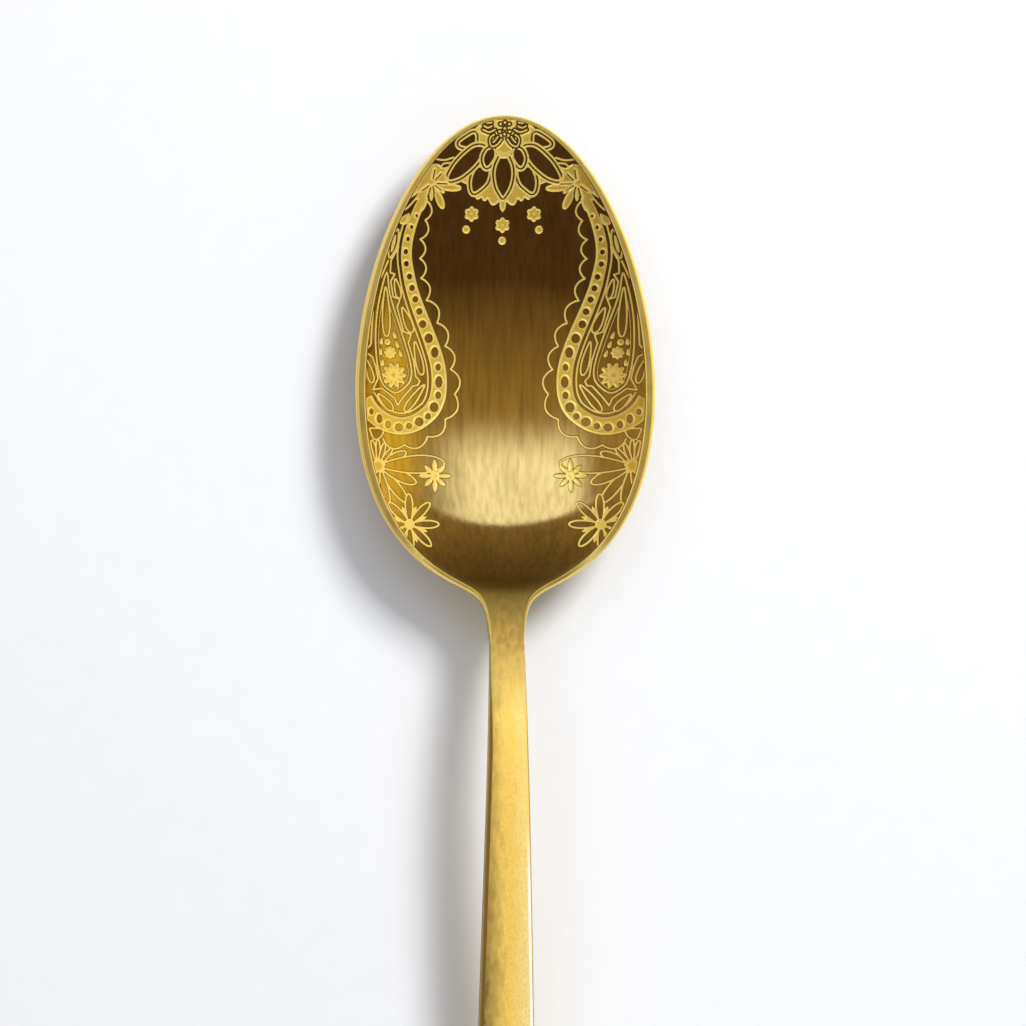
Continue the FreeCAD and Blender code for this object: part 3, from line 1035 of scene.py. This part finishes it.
def handle_gold():
    """The handle: lengthwise brushed satin, mottled and tarnished near the joint, with painted shade on its
    left side that grows towards its end and painted light on its right.
    """
    n = Surface("handle_gold", JOINT_METALLIC)
    brush, mottle = n.noise(0.25, 5.0, 3.0), n.noise(0.8, 2.2, 4.0, offset=2.0)
    pits = n.noise(0.16, 0.5, 4.0, offset=29.0)
    across = n.maths("ADD", n.axis("X"), n.spread(mottle, -0.7 * MM, 0.7 * MM))
    # Painted light: the top brightens towards its right side.
    right = n.mix(n.spread(across, 0.0, 1.0, 0.6 * MM, 3.0 * MM), (1.0, 0.66, 0.13), (1.0, 0.78, 0.28))
    # Painted shade: the left side darkens, reaching further in towards the handle's end.
    painted_shade_drift = n.along(95.0, 125.0, 0.0, -0.9 * MM)
    left = n.spread(n.maths("ADD", across, painted_shade_drift), 1.0, 0.0, -4.6 * MM, -0.8 * MM)
    plain = n.mix(left, right, (0.17, 0.108, 0.024))
    worn = n.mix(n.spread(pits, 0.0, 0.34, 0.45, 0.7), plain, (0.5, 0.34, 0.08))
    colour = n.towards_joint(worn, HANDLE_CLEAN)
    return n.finish(colour, n.spread(brush, 0.3, 0.46), n.bump(brush, 0.004, n.bump(mottle, 0.004)))


def painted_bevel_gold():
    """The inner part of the handle's long bevels: the left one painted dark as shade, the right one painted
    with a white highlight along its far part.
    """
    n = Surface("painted_bevel_gold", 0.3)
    grain = n.noise(0.3, 4.0, 2.0, offset=23.0)
    # Painted shade on the left bevel, and a painted white highlight along the right bevel's far part.
    right = n.spread(n.axis("X"), 0.0, 1.0, 0.0, 1.0 * MM)
    far = n.along(100.0, 110.0)
    rubbed_and_highlight = n.mix(far, (0.85, 0.58, 0.13), (1.0, 0.95, 0.82))
    colour = n.towards_joint(n.mix(right, (0.32, 0.19, 0.04), rubbed_and_highlight), HANDLE_CLEAN)
    return n.finish(colour, n.spread(grain, 0.1, 0.18), n.bump(grain, 0.001))


def painted_shade_edge_gold():
    """The outer part of the bevels, painted darker as shade."""
    n = Surface("painted_shade_edge_gold", 0.5)
    grain = n.noise(0.3, 4.0, 2.0, offset=31.0)
    # Painted shade: darker gold on the bevels' outer part.
    colour = n.towards_joint(n.mix(grain, (0.6, 0.39, 0.08), (0.44, 0.27, 0.05)), HANDLE_CLEAN)
    return n.finish(colour, n.spread(grain, 0.2, 0.3), n.bump(grain, 0.001))


def floor_white():
    """The table: matt white with the faintest cloudiness."""
    n = Surface("floor_white", 0.0)
    n.shader.inputs["Roughness"].default_value = 0.8
    n.link(n.mix(n.noise(4.0, 4.0, 3.0), (0.74, 0.745, 0.75), (0.77, 0.775, 0.78)), n.shader, "Base Color")
    return n.material


# ---- studio

def floor_sheet():
    """A floor far larger than the spoon, with its back out of the camera's sight."""
    half = 6.0 * LENGTH * MM
    mesh = bpy.data.meshes.new("floor")
    corners = [(-half, -half, 0.0), (half, -half, 0.0), (half, half, 0.0), (-half, half, 0.0)]
    mesh.from_pydata(corners, [], [(0, 1, 2, 3)])
    mesh.materials.append(floor_white())
    floor = add("floor", mesh)


def direction(off_zenith, azimuth):
    """A unit vector that far off the zenith, in degrees. Azimuth 0 is towards the tip and 90 towards +X."""
    a, b = math.radians(off_zenith), math.radians(azimuth)
    return Vector((math.sin(a) * math.sin(b), math.sin(a) * math.cos(b), math.cos(a)))


def softbox(name, off_zenith, azimuth, width, height, brightness, tint=(1.0, 1.0, 1.0), in_gloss=True):
    """A rectangular light, facing the bowl. Its width and height are angles seen from there, in degrees."""
    light = bpy.data.lights.new(name, "AREA")
    light.shape = "RECTANGLE"
    light.size = 2.0 * LIGHT_DISTANCE * math.tan(math.radians(width / 2.0))
    light.size_y = 2.0 * LIGHT_DISTANCE * math.tan(math.radians(height / 2.0))
    light.energy = brightness * math.pi * light.size * light.size_y
    light.color = tint
    lamp = add(name, light)
    towards = direction(off_zenith, azimuth)
    lamp.location = BOWL_MIDDLE + towards * LIGHT_DISTANCE
    lamp.rotation_euler = towards.to_track_quat("Z", "Y").to_euler()
    lamp.visible_glossy = in_gloss


def room():
    """A dim warm room, yellow on the spoon's right, with one broad soft window towards the bowl's tip.

    The metal reflects it; the camera sees a plain pale backdrop in its place."""
    world = bpy.data.worlds.new("studio")
    bpy.context.scene.world = world
    n = Nodes(world, "Generated")
    x, y, z = n.axis("X"), n.axis("Y"), n.axis("Z")

    def fade(value, low, high, start=0.0, end=1.0):
        return n.spread(value, start, end, low, high, "SMOOTHSTEP")

    walls = n.steps(n.spread(y, 0.0, 1.0, -1.0, 1.0), ROOM_COLOURS)
    yellow = n.maths("MULTIPLY", fade(x, 0.7, 1.0), fade(y, -0.25, 0.0))
    walls = n.mix(yellow, walls, (0.75, 0.58, 0.1))
    foot = n.maths("SUBTRACT", z, n.maths("MULTIPLY", y, 1.7))
    tall = n.maths("MULTIPLY", fade(y, 0.12, 0.36), fade(foot, -0.56, -0.46))
    wide = n.maths("MULTIPLY", fade(x, -0.85, -0.5), fade(x, 0.25, 0.9, 1.0, 0.0))
    reflected = n.mix(n.maths("MULTIPLY", tall, wide), walls, (1.05, 1.17, 1.5))
    seen = n.node("LightPath", {}).outputs["Is Camera Ray"]
    n.link(n.mix(seen, reflected, (0.78, 0.79, 0.8)), n.tree.nodes["Background"], "Color")


def lights():
    """A low strip for the bevels' gloss, a key light for the shadow, and a broad cool fill."""
    softbox("front_low", 64.0, 180.0, 70.0, 12.0, 2.5)
    softbox("main", 42.0, 38.0, 18.0, 18.0, 32.0, in_gloss=False)
    softbox("fill", 0.0, 0.0, 90.0, 90.0, 0.45, (0.76, 0.86, 1.0), in_gloss=False)


def camera():
    """A long lens above the bowl, leaning a little to the left."""
    data = bpy.data.cameras.new("camera")
    data.sensor_width = 36.0
    data.lens = data.sensor_width * CAMERA_DISTANCE / VIEW_WIDTH
    eye = add("camera", data)
    back = Vector((-math.sin(CAMERA_LEAN), 0.0, math.cos(CAMERA_LEAN)))
    eye.location = AIM + back * CAMERA_DISTANCE
    eye.rotation_euler = (0.0, -CAMERA_LEAN, 0.0)
    bpy.context.scene.camera = eye


# ---- the scene

BOWL_FINISHES = (polished_gold(), etched_gold(), rim_gold(), burnished_and_highlit_gold(), painted_edge_shade_gold())
bowl = mesh_object("bowl_metal", bowl_part(), BOWL_FINISHES)
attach(bowl, "root")
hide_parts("bowl")

handle = mesh_object("handle_metal", handle_part(), (handle_gold(), painted_bevel_gold(), painted_shade_edge_gold()))
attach(handle, "root")
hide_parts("handle")

floor_sheet()
room()
lights()
camera()
bpy.context.scene.view_settings.view_transform = "Standard"
